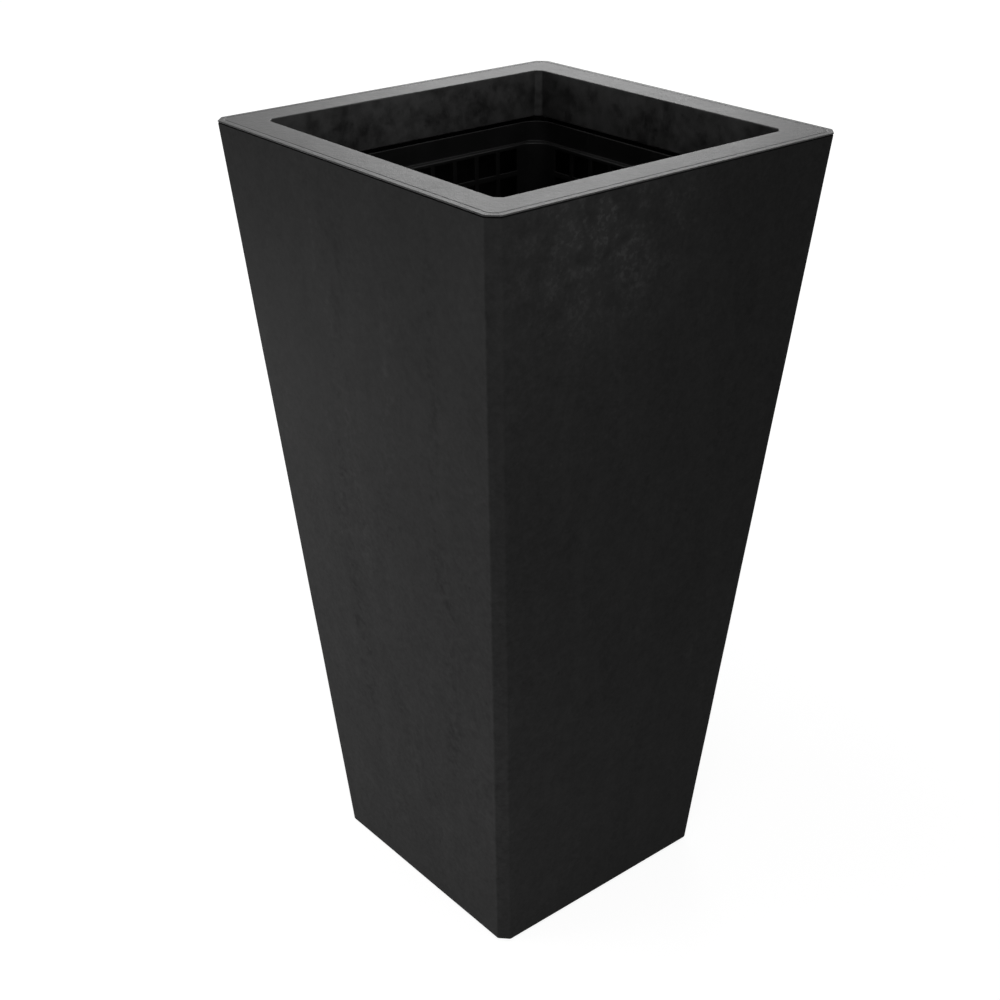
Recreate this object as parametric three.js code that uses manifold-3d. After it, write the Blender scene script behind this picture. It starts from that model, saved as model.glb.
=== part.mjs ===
// A tall, square, tapered planter in black glass-fibre laminate, with a lift-out slotted basket for the plant.
// Millimetres, +Z up. The origin is on the ground, on the planter's axis. The walls face -X, +X, -Y and +Y.
import * as THREE from "three";
import { mergeVertices } from "three/addons/utils/BufferGeometryUtils.js";
import Module from "manifold-3d";

const wasm = await Module();
wasm.setup();

// ---- Driving dimensions ----

// Overall
const HEIGHT = 790; // ground to the top of the rim
const TOP_WIDTH = 400; // across two opposite walls, at the rim
const BASE_WIDTH = 271; // across two opposite walls, at the bottom edge
const EDGE_CHAMFER = 9.5; // leg of the flat that breaks the four standing edges
const ARRIS_RADIUS = 3; // rounding where such a flat meets a wall
const BOND_GAP = 0.3; // glue line between pieces that are bonded together

// Shell
const SHELL_WALL = 4;
const SHELL_FLOOR = 6;
const SHELL_FLANGE = 5; // thickness of the flange turned in at the top, which the rim is bonded to
const INNER_CHAMFER = 12; // the laminate fills out the corners inside
const BOTTOM_ROUND = 3; // rounding of the bottom edge
const DISH_DEPTH = 5; // the floor is dished upwards, so that only its border can meet the ground
const DISH_BORDER = 42; // width of that border
const DISH_SLOPE = 6; // plan width of the dish's sloping side

// Rim frame
const RIM_WIDTH = 36;
const RIM_THICKNESS = 1.6; // a thin capping, backed by the shell's flange
const RIM_ROUND = 0.9; // outer top edge
const RIM_GROOVE_INSET = 6; // outer edge to the middle of a faint groove that runs round the rim
const RIM_GROOVE_WIDTH = 3;
const RIM_GROOVE_DEPTH = 0.5;
const LIP_DEPTH = 47; // rim top to the lower edge of the lip that hangs inside
const LIP_THICKNESS = 4;
const LIP_CHAMFER = 5.5; // leg of the flat in the lip's corners
const LIP_ROUND = 1.2; // rounding of the lip's edges
const LIP_TO_FLANGE = 2; // clearance between the lip and the shell's flange
const SEAM_DEPTH = 1.2; // the shadow line where the rim sits on the shell
const SEAM_HALF_HEIGHT = 0.55;

// Basket
const BASKET_HEIGHT = 256;
const BASKET_WALL = 2.5;
const BASKET_BASE = 3;
const BASKET_TO_LIP = 3.5; // clearance each side, as it is lifted out past the lip
const BASKET_BELOW_LIP = 2; // the basket's top edge sits this far under the lip's lower edge
const BASKET_CORNER = 22; // outer corner radius
const BASKET_DRAFT = 4.5; // how far each wall leans in towards the base
const COLLAR_HEIGHT = 20;
const COLLAR_STEP = 7; // the slotted walls stand in from the collar by this much

// Slots in the basket's walls, and holes in its base
const SLOT_PITCH = 28; // both ways
const BAR_WIDTH = 5; // solid strip between two slots, both ways
const SLOT_TO_COLLAR = 1;
const SLOT_TO_BASE = 12;
const BASE_HOLE_RADIUS = 6;
const BASE_HOLE_PITCH = 56;
const BASE_HOLE_MARGIN = 24; // outermost holes' centres to the wall, at least

// Ledges that carry the basket
const LEDGE_LENGTH = 170;
const LEDGE_UPRIGHT = 35;
const LEDGE_THICKNESS = 4;
const LEDGE_REACH = 11; // how far a ledge reaches in under the basket's base

// Drain plug
const DRAIN_RADIUS = 12.5;
const PLUG_CLEARANCE = 0.3;
const PLUG_HEAD_RADIUS = 19;
const PLUG_HEAD_THICKNESS = 3;
const PLUG_KNOB_RADIUS = 6; // what fingers pull it out by
const PLUG_KNOB_HEIGHT = 9;
const PLUG_GROOVE = 1.1; // depth of the groove round the stem
const PLUG_PROUD = 2.5; // how far the stem shows below the floor
const PLUG_TIP_TAPER = 1.5;

// Base pads
const PAD_RADIUS = 13;
const PAD_THICKNESS = 2.8;
const PAD_INSET = 24; // pad centre to the bottom edge of the walls

const RUBBER_BEVEL = 0.6; // moulded edges of the plug and pads

// Fineness of curves
const BLEND_STEPS = 2; // per arris
const CORNER_STEPS = 5; // per quarter turn of a basket corner
const ARC_STEP = 45; // degrees
const ROUND_STEPS = 32; // per full turn
const HOLE_STEPS = 10; // per full turn

// ---- Levels and half widths that follow from them ----
const shellBottom = PAD_THICKNESS + BOND_GAP;
const lean = (TOP_WIDTH - BASE_WIDTH) / 2 / (HEIGHT - RIM_ROUND - shellBottom);
const outerHalf = (z) => BASE_WIDTH / 2 + lean * (z - shellBottom);
const innerHalf = (z) => outerHalf(z) - SHELL_WALL;

const rimUnderside = HEIGHT - RIM_THICKNESS;
const flangeTop = rimUnderside - BOND_GAP;
const flangeUnderside = flangeTop - SHELL_FLANGE;
const lipInner = TOP_WIDTH / 2 - RIM_WIDTH;
const lipOuter = lipInner + LIP_THICKNESS;
const lipBottom = HEIGHT - LIP_DEPTH;

const floorUnderside = shellBottom + DISH_DEPTH;
const floorTop = floorUnderside + SHELL_FLOOR;

const basketTop = lipBottom - BASKET_BELOW_LIP;
const basketBottom = basketTop - BASKET_HEIGHT;
const collarOuter = lipInner - BASKET_TO_LIP;
const collarBottom = basketTop - COLLAR_HEIGHT;
const wallOuter = collarOuter - COLLAR_STEP;
const baseOuter = wallOuter - BASKET_DRAFT;

const ledgeTop = basketBottom - BOND_GAP;
const ledgeInner = baseOuter - LEDGE_REACH;

// ---- Corner outlines: offsets from a square's sharp corner, walked from one side to the next ----

// A flat across the corner, blended into both sides.
function softChamfer(leg) {
  const tangent = Math.min(ARRIS_RADIUS * Math.tan(Math.PI / 8), leg / 3);
  const radius = tangent / Math.tan(Math.PI / 8);
  const first = [];
  for (let i = 0; i <= BLEND_STEPS; i++) {
    const turn = (i / BLEND_STEPS) * (Math.PI / 4);
    const back = leg + tangent - radius * Math.sin(turn);
    first.push([back, radius - radius * Math.cos(turn)]);
  }
  const second = first.map(([back, across]) => [across, back]).reverse();
  return [...first, ...second];
}

function roundCorner(radius) {
  const points = [];
  for (let i = 0; i <= CORNER_STEPS; i++) {
    const turn = (i / CORNER_STEPS) * (Math.PI / 2);
    points.push([radius - radius * Math.sin(turn), radius - radius * Math.cos(turn)]);
  }
  return points;
}

// A flat's leg shrinks by this much for each millimetre that its outline is drawn in.
const LEG_PER_INSET = 2 - Math.SQRT2;
const shellLeg = (half, z) => EDGE_CHAMFER - LEG_PER_INSET * (outerHalf(z) - half);
const lipLeg = (half) => LIP_CHAMFER + LEG_PER_INSET * (half - lipInner);

// ---- Profiles: lists of [half width, height, corner size] ----

// Part of a circle round (half, z), from one angle to another in degrees, 0 pointing outwards and 90 up.
function arc(half, z, radius, from, to, cornerSize) {
  const steps = Math.abs(to - from) / ARC_STEP;
  const points = [];
  for (let i = 0; i <= steps; i++) {
    const angle = THREE.MathUtils.degToRad(from + ((to - from) * i) / steps);
    const h = half + radius * Math.cos(angle);
    const level = z + radius * Math.sin(angle);
    points.push([h, level, cornerSize(h, level)]);
  }
  return points;
}

// ---- Solids ----

// A lathe whose turns are squares with the given corners.
function squareLathe(profile, corner) {
  const cornerPoints = corner(0).length;
  const turns = 4 * cornerPoints;
  const flat = profile.map(([half, z]) => new THREE.Vector2(half, z));
  const geometry = new THREE.LatheGeometry(flat, turns);
  const position = geometry.getAttribute("position");
  profile.forEach(([half, z, size], i) => {
    const outline = corner(size);
    for (let turn = 0; turn <= turns; turn++) {
      const side = Math.floor(turn / cornerPoints) % 4;
      const [back, across] = outline[turn % cornerPoints];
      const point = new THREE.Vector2(half - back, across - half);
      point.rotateAround(new THREE.Vector2(), (side * Math.PI) / 2);
      position.setXYZ(turn * profile.length + i, point.x, point.y, z);
    }
  });
  return bare(geometry);
}

// A round lathe standing along Z.
function roundLathe(profile) {
  const points = profile.map(([radius, z]) => new THREE.Vector2(radius, z));
  return new THREE.LatheGeometry(points, ROUND_STEPS).rotateX(Math.PI / 2);
}

// The same shape with its positions only, and its shared vertices merged.
function bare(geometry) {
  geometry.deleteAttribute("normal");
  geometry.deleteAttribute("uv");
  return mergeVertices(geometry, 1e-3);
}

function toSolid(geometry) {
  const closed = bare(geometry);
  const vertProperties = closed.getAttribute("position").array;
  const triVerts = new Uint32Array(closed.index.array);
  return new wasm.Manifold(new wasm.Mesh({ numProp: 3, vertProperties, triVerts }));
}

function toGeometry(solid) {
  const { vertProperties, triVerts } = solid.getMesh();
  const geometry = new THREE.BufferGeometry();
  geometry.setAttribute("position", new THREE.BufferAttribute(vertProperties, 3));
  geometry.setIndex(new THREE.BufferAttribute(triVerts, 1));
  return geometry;
}

function cut(geometry, cutters) {
  const removed = cutters.map(toSolid).reduce((all, one) => all.add(one));
  return toGeometry(toSolid(geometry).subtract(removed));
}

// A hole straight up through a floor at the given level.
function holeCutter(radius, x, y, z, thickness, steps) {
  const hole = new THREE.CylinderGeometry(radius, radius, 3 * thickness, steps);
  return hole.rotateX(Math.PI / 2).translate(x, y, z + thickness / 2);
}

// ---- Shell: four leaning walls, a dished floor, and a flange turned in at the top ----
function shellGeometry() {
  const edgeLevel = shellBottom + BOTTOM_ROUND;
  const edgeCentre = outerHalf(edgeLevel) - BOTTOM_ROUND;
  const dishEdge = BASE_WIDTH / 2 - DISH_BORDER;
  const seamBottom = flangeTop - SEAM_HALF_HEIGHT;
  const seamHalf = outerHalf(flangeTop) - SEAM_DEPTH;
  const flangeInner = lipOuter + LIP_TO_FLANGE;
  const profile = [
    [0, floorUnderside, 0],
    [dishEdge - DISH_SLOPE, floorUnderside, EDGE_CHAMFER],
    [dishEdge, shellBottom, EDGE_CHAMFER],
    ...arc(edgeCentre, edgeLevel, BOTTOM_ROUND, -90, 0, shellLeg),
    [outerHalf(seamBottom), seamBottom, EDGE_CHAMFER],
    [seamHalf, flangeTop, shellLeg(seamHalf, flangeTop)],
    [flangeInner, flangeTop, lipLeg(flangeInner)],
    [flangeInner, flangeUnderside, lipLeg(flangeInner)],
    [innerHalf(flangeUnderside), flangeUnderside, INNER_CHAMFER],
    [innerHalf(floorTop), floorTop, INNER_CHAMFER],
    [0, floorTop, 0],
  ];
  const drain = holeCutter(DRAIN_RADIUS, 0, 0, floorUnderside, SHELL_FLOOR, ROUND_STEPS);
  return cut(squareLathe(profile, softChamfer), [drain]);
}

// ---- Rim frame: the wide flat rim, and the lip that hangs inside ----
function rimGeometry() {
  const seamTop = rimUnderside + SEAM_HALF_HEIGHT;
  const seamHalf = outerHalf(rimUnderside) - SEAM_DEPTH;
  const edgeLevel = HEIGHT - RIM_ROUND;
  const edgeCentre = outerHalf(edgeLevel) - RIM_ROUND;
  const groove = TOP_WIDTH / 2 - RIM_GROOVE_INSET;
  const grooveOuter = groove + RIM_GROOVE_WIDTH / 2;
  const grooveInner = groove - RIM_GROOVE_WIDTH / 2;
  const profile = [
    ...arc(lipInner + LIP_ROUND, lipBottom + LIP_ROUND, LIP_ROUND, 180, 270, lipLeg),
    ...arc(lipOuter - LIP_ROUND, lipBottom + LIP_ROUND, LIP_ROUND, 270, 360, lipLeg),
    [lipOuter, rimUnderside, lipLeg(lipOuter)],
    [seamHalf, rimUnderside, shellLeg(seamHalf, rimUnderside)],
    [outerHalf(seamTop), seamTop, EDGE_CHAMFER],
    ...arc(edgeCentre, edgeLevel, RIM_ROUND, 0, 90, shellLeg),
    [grooveOuter, HEIGHT, shellLeg(grooveOuter, HEIGHT)],
    [groove, HEIGHT - RIM_GROOVE_DEPTH, shellLeg(groove, HEIGHT)],
    [grooveInner, HEIGHT, shellLeg(grooveInner, HEIGHT)],
    ...arc(lipInner + LIP_ROUND, HEIGHT - LIP_ROUND, LIP_ROUND, 90, 180, lipLeg),
  ];
  return squareLathe([...profile, profile[0]], softChamfer);
}

// ---- Basket: a collar, slotted walls stepped in below it, and a base with drain holes ----
function basketBlank() {
  const outer = () => BASKET_CORNER;
  const inner = BASKET_CORNER - BASKET_WALL;
  const bead = BASKET_WALL / 2;
  const footLevel = basketBottom + BASKET_WALL;
  const profile = [
    [0, basketBottom, 0],
    ...arc(baseOuter - BASKET_WALL, footLevel, BASKET_WALL, -90, 0, outer),
    [wallOuter, collarBottom - BASKET_WALL, BASKET_CORNER],
    [collarOuter, collarBottom, BASKET_CORNER],
    ...arc(collarOuter - bead, basketTop - bead, bead, 0, 180, outer),
    [collarOuter - BASKET_WALL, collarBottom, inner],
    [wallOuter - BASKET_WALL, collarBottom, inner],
    [baseOuter - BASKET_WALL, basketBottom + BASKET_BASE, inner],
    [0, basketBottom + BASKET_BASE, 0],
  ];
  return squareLathe(profile, roundCorner);
}

// Evenly spaced places either side of 0, as many as fit in a span.
function spread(pitch, span) {
  const count = Math.max(1, Math.floor(span / pitch) + 1);
  return Array.from({ length: count }, (_, i) => (i - (count - 1) / 2) * pitch);
}

// Bars longer than the basket is wide, so that each one cuts a slot in two opposite walls.
function slotCutters() {
  const opening = SLOT_PITCH - BAR_WIDTH;
  const top = collarBottom - BASKET_WALL - SLOT_TO_COLLAR;
  const depth = top - basketBottom - SLOT_TO_BASE;
  const rows = Math.floor((depth + BAR_WIDTH) / SLOT_PITCH);
  const reach = 3 * collarOuter;
  const cutters = [];
  for (const column of spread(SLOT_PITCH, 2 * (baseOuter - BASKET_CORNER) - opening)) {
    for (let row = 0; row < rows; row++) {
      const z = top - opening / 2 - row * SLOT_PITCH;
      cutters.push(new THREE.BoxGeometry(reach, opening, opening).translate(0, column, z));
      cutters.push(new THREE.BoxGeometry(opening, reach, opening).translate(column, 0, z));
    }
  }
  return cutters;
}

function basketGeometry() {
  const places = spread(BASE_HOLE_PITCH, 2 * (baseOuter - BASKET_WALL - BASE_HOLE_MARGIN));
  const holes = places.flatMap((x) =>
    places.map((y) => holeCutter(BASE_HOLE_RADIUS, x, y, basketBottom, BASKET_BASE, HOLE_STEPS)),
  );
  return cut(basketBlank(), [...slotCutters(), ...holes]);
}

// ---- Ledge: an angle bonded to the wall on the +X side, whose flat leg carries the basket's base ----
function ledgeGeometry() {
  const bonded = (z) => innerHalf(z) - BOND_GAP;
  const low = ledgeTop - LEDGE_UPRIGHT;
  const shelf = ledgeTop - LEDGE_THICKNESS;
  const outline = new THREE.Shape([
    new THREE.Vector2(bonded(low), low),
    new THREE.Vector2(bonded(ledgeTop), ledgeTop),
    new THREE.Vector2(ledgeInner, ledgeTop),
    new THREE.Vector2(ledgeInner, shelf),
    new THREE.Vector2(bonded(shelf) - LEDGE_THICKNESS, shelf),
    new THREE.Vector2(bonded(low) - LEDGE_THICKNESS, low),
  ]);
  const bar = new THREE.ExtrudeGeometry(outline, { depth: LEDGE_LENGTH, bevelEnabled: false });
  return bar.rotateX(Math.PI / 2).translate(0, LEDGE_LENGTH / 2, 0);
}

// ---- Drain plug: a head on the floor inside, with a knob, and a grooved stem down through the hole ----
function plugGeometry() {
  const stem = DRAIN_RADIUS - PLUG_CLEARANCE;
  const tip = floorUnderside - PLUG_PROUD;
  const headBottom = floorTop + PLUG_CLEARANCE;
  const headTop = headBottom + PLUG_HEAD_THICKNESS;
  const knobTop = headTop + PLUG_KNOB_HEIGHT;
  const grooveBottom = floorUnderside + SHELL_FLOOR / 3;
  const grooveTop = floorTop - SHELL_FLOOR / 3;
  return roundLathe([
    [0, tip],
    [stem - PLUG_TIP_TAPER, tip],
    [stem, tip + PLUG_TIP_TAPER],
    [stem, grooveBottom],
    [stem - PLUG_GROOVE, grooveBottom],
    [stem - PLUG_GROOVE, grooveTop],
    [stem, grooveTop],
    [stem, headBottom],
    [PLUG_HEAD_RADIUS, headBottom],
    [PLUG_HEAD_RADIUS, headTop - RUBBER_BEVEL],
    [PLUG_HEAD_RADIUS - RUBBER_BEVEL, headTop],
    [PLUG_KNOB_RADIUS, headTop],
    [PLUG_KNOB_RADIUS, knobTop - RUBBER_BEVEL],
    [PLUG_KNOB_RADIUS - RUBBER_BEVEL, knobTop],
    [0, knobTop],
  ]);
}

function padGeometry() {
  return roundLathe([
    [0, 0],
    [PAD_RADIUS - RUBBER_BEVEL, 0],
    [PAD_RADIUS, RUBBER_BEVEL],
    [PAD_RADIUS, PAD_THICKNESS],
    [0, PAD_THICKNESS],
  ]);
}

// ---- Materials ----
const finish = (color, roughness) => new THREE.MeshStandardMaterial({ color, roughness, metalness: 0 });
const laminate = finish(0x2b2b2b, 0.62);
const rimFinish = finish(0x363636, 0.42);
const basketPlastic = finish(0x101010, 0.3);
const rawLaminate = finish(0x1c1c1c, 0.5);
const rubber = finish(0x161616, 0.85);

// ---- Assembly ----
const planter = new THREE.Group();

function addMesh(name, geometry, material) {
  const mesh = new THREE.Mesh(geometry, material);
  mesh.name = name;
  planter.add(mesh);
  return mesh;
}

addMesh("body_shell", shellGeometry(), laminate);
addMesh("rim_frame", rimGeometry(), rimFinish);
addMesh("planting_basket", basketGeometry(), basketPlastic);
addMesh("drain_plug", plugGeometry(), rubber);

["right", "back", "left", "front"].forEach((side, i) => {
  const ledge = addMesh(`support_ledge_${side}`, ledgeGeometry(), rawLaminate);
  ledge.rotation.z = (i * Math.PI) / 2;
});

const padReach = BASE_WIDTH / 2 - PAD_INSET;
for (const [depth, y] of [["front", -padReach], ["back", padReach]]) {
  for (const [side, x] of [["left", -padReach], ["right", padReach]]) {
    addMesh(`base_pad_${depth}_${side}`, padGeometry(), rubber).position.set(x, y, 0);
  }
}

export default planter;
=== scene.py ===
# A tall, square, tapered planter in anthracite glass-fibre laminate, with a slotted basket that lifts
# out. Metres, +Z up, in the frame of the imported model. The planter's walls face -X, +X, -Y and +Y.
import math

import bmesh
import bpy
from mathutils import Matrix, Vector, noise


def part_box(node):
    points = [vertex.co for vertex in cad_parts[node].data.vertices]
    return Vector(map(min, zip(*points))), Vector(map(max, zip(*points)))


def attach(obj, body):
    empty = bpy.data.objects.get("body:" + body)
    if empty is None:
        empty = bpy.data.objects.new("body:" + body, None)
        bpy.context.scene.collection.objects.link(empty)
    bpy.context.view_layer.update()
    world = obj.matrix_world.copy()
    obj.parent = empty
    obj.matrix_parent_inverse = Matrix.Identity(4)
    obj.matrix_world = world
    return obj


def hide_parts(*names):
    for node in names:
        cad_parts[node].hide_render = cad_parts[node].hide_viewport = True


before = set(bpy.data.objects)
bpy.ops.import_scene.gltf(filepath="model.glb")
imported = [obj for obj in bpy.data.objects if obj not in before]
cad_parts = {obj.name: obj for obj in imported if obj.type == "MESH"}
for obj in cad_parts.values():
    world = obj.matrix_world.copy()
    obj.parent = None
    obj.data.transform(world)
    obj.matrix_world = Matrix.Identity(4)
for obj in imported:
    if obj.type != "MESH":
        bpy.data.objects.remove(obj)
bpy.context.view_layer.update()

# ---- Sizes that the frame gives ----
SHELL_LOW, SHELL_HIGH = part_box("body_shell")
RIM_LOW, RIM_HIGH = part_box("rim_frame")
BASKET_LOW, BASKET_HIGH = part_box("planting_basket")
LEDGE_LOW, LEDGE_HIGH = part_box("support_ledge_right")
PLUG_LOW, PLUG_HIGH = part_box("drain_plug")

# ---- Sizes that it doesn't, as the solids have them ----
BOND_GAP = 0.0003
# Places nearer than this count as the same.
CLOSE = 0.0003
EDGE_CHAMFER = 0.0095
ARRIS_RADIUS = 0.003

BASE_HALF = 0.1355
SHELL_WALL = 0.004
SHELL_FLOOR = 0.006
SHELL_FLANGE = 0.005
INNER_CHAMFER = 0.012
BOTTOM_ROUND = 0.003
DISH_DEPTH = 0.005
DISH_BORDER = 0.042
DISH_SLOPE = 0.006

RIM_WIDTH = 0.036
RIM_THICKNESS = 0.0016
RIM_ROUND = 0.0009
RIM_GROOVE_INSET = 0.006
RIM_GROOVE_WIDTH = 0.003
# The solids' groove is 0.5 mm deep, which looks too dark.
RIM_GROOVE_DEPTH = 0.0003
LIP_THICKNESS = 0.004
LIP_CHAMFER = 0.0055
LIP_ROUND = 0.0012
LIP_TO_FLANGE = 0.002
SEAM_DEPTH = 0.0012
SEAM_HALF_HEIGHT = 0.00055

BASKET_WALL = 0.0025
BASKET_BASE = 0.003
BASKET_CORNER = 0.022
BASKET_DRAFT = 0.0045
COLLAR_HEIGHT = 0.020
COLLAR_STEP = 0.007
SLOT_PITCH = 0.028
BAR_WIDTH = 0.005
SLOT_TO_COLLAR = 0.001
SLOT_COLUMNS = 9
SLOT_ROWS = 8
BASE_HOLES = 5
BASE_HOLE_RADIUS = 0.006
BASE_HOLE_PITCH = 0.056

LEDGE_THICKNESS = 0.004
DRAIN_RADIUS = 0.0125
PLUG_CLEARANCE = 0.0003
PLUG_HEAD_THICKNESS = 0.003
PLUG_KNOB_RADIUS = 0.006
PLUG_GROOVE = 0.0011
PLUG_TIP_TAPER = 0.0015

# ---- Small roundings ----
SHELL_EDGE_ROUND = 0.0004
RIM_EDGE_ROUND = 0.0003
BASKET_EDGE_ROUND = 0.0005
BASKET_TOP_ROUND = 0.0004
BASKET_FILLET = 0.001
LEDGE_EDGE_ROUND = 0.0006
LEDGE_BEND = 0.004
RUBBER_EDGE_ROUND = 0.0003
PLUG_ROUND = 0.0008
PLUG_WAIST_ROUND = 0.0015
PAD_ROUND = 0.0007

# ---- Fineness ----
ARRIS_STEPS = 5
CORNER_STEPS = 10
BOTTOM_STEPS = 6
RIM_EDGE_STEPS = 6
RIM_GROOVE_STEPS = 8
LIP_EDGE_STEPS = 4
BROW_SATIN_STEPS = 3
BASKET_FOOT_STEPS = 5
COLLAR_STEPS = 3
FILLET_STEPS = 4
WALL_COLUMNS = 28
WALL_ROWS = 54
LIP_ROWS = 8
FLAT_COLUMNS = 6
ROUND_STEPS = 64
HOLE_STEPS = 20
LEDGE_STATIONS = 24
BEVEL_SEGMENTS = 2
# Edges that turn by more degrees than this are rounded.
SHARP_ANGLE = 40
LARGE_FACE_WEIGHT = 60

# ---- How far hand-laid surfaces wander from true ----
WALL_RIPPLE = 0.0003
LIP_RIPPLE = 0.0003
RIM_RIPPLE = 0.00015
RIPPLE_SIZE = 0.09

# ---- What follows from them ----
LEAN = (RIM_HIGH.x - BASE_HALF) / (RIM_HIGH.z - RIM_ROUND - SHELL_LOW.z)
# A flat across a corner keeps its distance when each of its legs loses this much per unit of inset.
LEG_PER_INSET = 2 - math.sqrt(2)
# Half the turn from a wall to the flat on its standing edge.
HALF_ARRIS = math.pi / 8
RIM_UNDERSIDE = RIM_HIGH.z - RIM_THICKNESS
LIP_INNER = RIM_HIGH.x - RIM_WIDTH
LIP_OUTER = LIP_INNER + LIP_THICKNESS
RIM_EDGE_LEVEL = RIM_HIGH.z - RIM_ROUND
RIM_GROOVE_MIDDLE = RIM_HIGH.x - RIM_GROOVE_INSET
RIM_FLAT_START = RIM_GROOVE_MIDDLE - RIM_GROOVE_WIDTH / 2
RIM_FLAT_END = LIP_INNER + LIP_ROUND
FLOOR_UNDERSIDE = SHELL_LOW.z + DISH_DEPTH
FLOOR_TOP = FLOOR_UNDERSIDE + SHELL_FLOOR
COLLAR_OUTER = BASKET_HIGH.x
COLLAR_BOTTOM = BASKET_HIGH.z - COLLAR_HEIGHT
WALL_OUTER = COLLAR_OUTER - COLLAR_STEP
BASE_OUTER = WALL_OUTER - BASKET_DRAFT
SLOT_WIDTH = SLOT_PITCH - BAR_WIDTH


def outer_half(z):
    """Half the hull's outer width at a height."""
    return BASE_HALF + LEAN * (z - SHELL_LOW.z)


def inner_half(z):
    """Half the hull's inner width at a height."""
    return outer_half(z) - SHELL_WALL


# ---- Outlines ----
# A corner is a list of offsets from a square's sharp corner: back along one side, and across from it.

def soft_chamfer(leg):
    """A flat across the corner, blended into both sides by arcs that take a third of it at most."""
    tangent = min(ARRIS_RADIUS * math.tan(HALF_ARRIS), leg / 3)
    radius = tangent / math.tan(HALF_ARRIS)
    first = []
    for turn in even(0, math.pi / 4, ARRIS_STEPS):
        first.append((leg + tangent - radius * math.sin(turn), radius - radius * math.cos(turn)))
    return first + [(across, back) for back, across in reversed(first)]


def round_corner(radius):
    """A quarter circle."""
    turns = even(0, math.pi / 2, CORNER_STEPS)
    return [(radius - radius * math.sin(t), radius - radius * math.cos(t)) for t in turns]


def shell_leg(half, z):
    """The leg of the flat on a standing edge, at a place as far inside the hull's face as half is."""
    return EDGE_CHAMFER - LEG_PER_INSET * (outer_half(z) - half)


def lip_leg(half):
    """The leg of the flat in the lip's corners, on its inner face or as far outside that as half is."""
    return LIP_CHAMFER + LEG_PER_INSET * (half - LIP_INNER)


def even(low, high, count):
    """count + 1 evenly spaced values, ends included."""
    return [low + (high - low) * i / count for i in range(count + 1)]


def square_ring(half, z, corner, stations):
    """One turn round a square: each corner, then the places along the straight run after it."""
    ring = []
    for side in range(4):
        turn = Matrix.Rotation(side * math.pi / 2, 3, "Z")
        ring += [turn @ Vector((half - back, across - half, z)) for back, across in corner]
        ring += [turn @ Vector((half, along, z)) for along in stations]
    return ring


def chamfered_ring(half, z, leg):
    """A square turn with softened flats across its corners."""
    run = half - leg - ARRIS_RADIUS
    return square_ring(half, z, soft_chamfer(leg), even(-run, run, WALL_COLUMNS))


def round_ring(radius, z, x=0.0, y=0.0, steps=ROUND_STEPS):
    """A circle at height z round (x, y)."""
    turns = [2 * math.pi * i / steps for i in range(steps)]
    return [Vector((x + radius * math.cos(t), y + radius * math.sin(t), z)) for t in turns]


def arc(half, z, radius, start, end, steps):
    """Part of a circle round (half, z) from one angle to another, 0 pointing outwards and 90 up."""
    turns = [math.radians(turn) for turn in even(start, end, steps)]
    return [(half + radius * math.cos(t), z + radius * math.sin(t)) for t in turns]


def ripple(point, depth):
    """How far a hand-laid face lies below its true plane at a point, from 0 to depth."""
    return depth * (0.5 + 0.5 * noise.noise(point / RIPPLE_SIZE))


def drawn_in(ring, depth):
    """The ring with each point moved towards the axis, or away from it, by a ripple."""
    moved = []
    for point in ring:
        share = ripple(point, depth) / max(abs(point.x), abs(point.y))
        moved.append(Vector((point.x * (1 - share), point.y * (1 - share), point.z)))
    return moved


# ---- Meshes ----

def add_ring(bm, ring):
    """The ring's points as new vertices."""
    return [bm.verts.new(point) for point in ring]


def join_rings(bm, low, high, finish=0, gaps=()):
    """A band of faces between two rings of vertices, apart from the columns in gaps."""
    for column, (first, second) in enumerate(zip(low, low[1:] + low[:1])):
        if column not in gaps:
            after = (column + 1) % len(high)
            face = bm.faces.new((first, second, high[after], high[column]))
            face.material_index = finish


def fill_floor(bm, loops, facing_up, finish=0):
    """A flat floor inside the first loop of vertices, with the other loops as holes."""
    edges = []
    for loop in loops:
        for pair in zip(loop, loop[1:] + loop[:1]):
            edges.append(bm.edges.get(pair) or bm.edges.new(pair))
    made = bmesh.ops.triangle_fill(bm, use_beauty=True, edges=edges)["geom"]
    for face in (item for item in made if isinstance(item, bmesh.types.BMFace)):
        face.normal_update()
        if (face.normal.z > 0) != facing_up:
            face.normal_flip()
        face.material_index = finish


def make_piece(name, bm, body, nodes, finishes, edge_radius):
    """The finished object, riding on its body: edges rounded, large faces leading the shading."""
    mesh = bpy.data.meshes.new(name)
    bm.to_mesh(mesh)
    bm.free()
    mesh.shade_smooth()
    for finish in finishes:
        mesh.materials.append(finish)
    piece = bpy.data.objects.new(name, mesh)
    bpy.context.scene.collection.objects.link(piece)
    bevel = piece.modifiers.new("rounded_edges", "BEVEL")
    bevel.width = edge_radius
    bevel.segments = BEVEL_SEGMENTS
    bevel.limit_method = "ANGLE"
    bevel.angle_limit = math.radians(SHARP_ANGLE)
    weighted = piece.modifiers.new("even_shading", "WEIGHTED_NORMAL")
    weighted.weight = LARGE_FACE_WEIGHT
    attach(piece, body)
    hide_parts(*nodes)
    return piece


# ---- Finishes: how much light each one scatters, and how much dust and specks add to that ----
WALL_COLOUR = 0.0195
LIP_COLOUR = 0.034
# About twice the walls' colour: partly the rim's own satin tone, partly painted light for the brightness
# that its top catches.
RIM_TONE_AND_PAINTED_LIGHT = 0.040
# Also the painted shade on the rim's face in the seam.
BARE_AND_SEAM_SHADE_COLOUR = 0.005
PLASTIC_COLOUR = 0.014
RUBBER_COLOUR = 0.016
DUST_COLOUR = 0.024
DUST_AND_GLINT_SPECK_COLOUR = 0.03


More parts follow.
